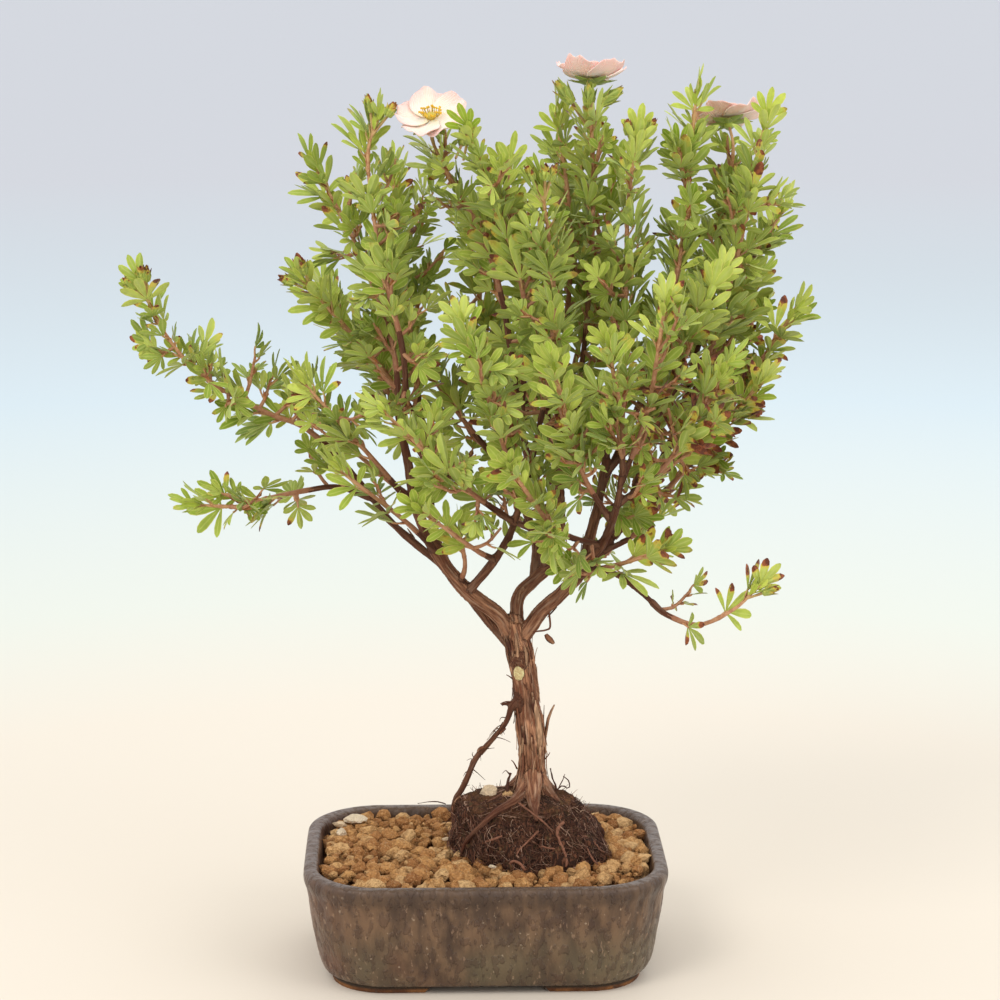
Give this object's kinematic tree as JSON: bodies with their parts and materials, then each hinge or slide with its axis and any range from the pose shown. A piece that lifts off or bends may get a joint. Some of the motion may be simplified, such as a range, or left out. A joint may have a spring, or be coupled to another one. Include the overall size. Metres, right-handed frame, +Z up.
{
  "type": "shrubby cinquefoil bonsai",
  "caption": "Flowering shrubby cinquefoil bonsai on a raised root mass in akadama grit, in a low rectangular glazed pot with rounded corners and small feet.",
  "frame": {"origin": "middle of the whole object's outline seen from above, on the surface that the pot's feet stand on", "axes": "+Z up the trunk, +X to the viewer's right along the pot's long side, the front of the pot towards -Y"},
  "size_m": [0.2468, 0.157, 0.3258],
  "materials": {
    "glaze": "satin",
    "grit": "matte",
    "roots": "matte",
    "bark": "matte",
    "leaf": "satin",
    "petal": "satin",
    "stamen": "matte"
  },
  "bodies": {
    "root": {"pot": "glaze", "soil": "grit", "root_mass": "roots", "tree": "bark", "shoot_far_left": "leaf", "shoot_low_left": "leaf", "shoot_left_1": "leaf", "shoot_left_2": "leaf", "shoot_left_3": "leaf", "shoot_left_4": "leaf", "shoot_left_5": "leaf", "shoot_left_6": "leaf", "shoot_left_7": "leaf", "shoot_left_8": "leaf", "shoot_bloom_1": "leaf", "shoot_centre_1": "leaf", "shoot_centre_2": "leaf", "shoot_centre_3": "leaf", "shoot_bloom_2": "leaf", "shoot_centre_4": "leaf", "shoot_centre_5": "leaf", "shoot_right_1": "leaf", "shoot_right_2": "leaf", "shoot_bloom_3": "leaf", "shoot_right_3": "leaf", "shoot_right_4": "leaf", "shoot_right_5": "leaf", "shoot_right_6": "leaf", "shoot_right_7": "leaf", "shoot_right_8": "leaf", "shoot_right_9": "leaf", "shoot_right_10": "leaf", "shoot_right_11": "leaf", "shoot_front_1": "leaf", "shoot_front_2": "leaf", "shoot_front_3": "leaf", "shoot_front_4": "leaf", "shoot_front_5": "leaf", "shoot_front_6": "leaf", "shoot_front_7": "leaf", "shoot_front_8": "leaf", "shoot_sprig": "leaf", "shoot_low_right_1": "leaf", "shoot_low_right_2": "leaf", "shoot_back_1": "leaf", "shoot_back_2": "leaf", "shoot_back_3": "leaf", "shoot_back_4": "leaf", "shoot_back_5": "leaf", "shoot_back_6": "leaf", "bloom_1_petals": "petal", "bloom_1_stamens": "stamen", "bloom_2_petals": "petal", "bloom_2_stamens": "stamen", "bloom_3_petals": "petal", "bloom_3_stamens": "stamen"}
  },
  "joints": []
}
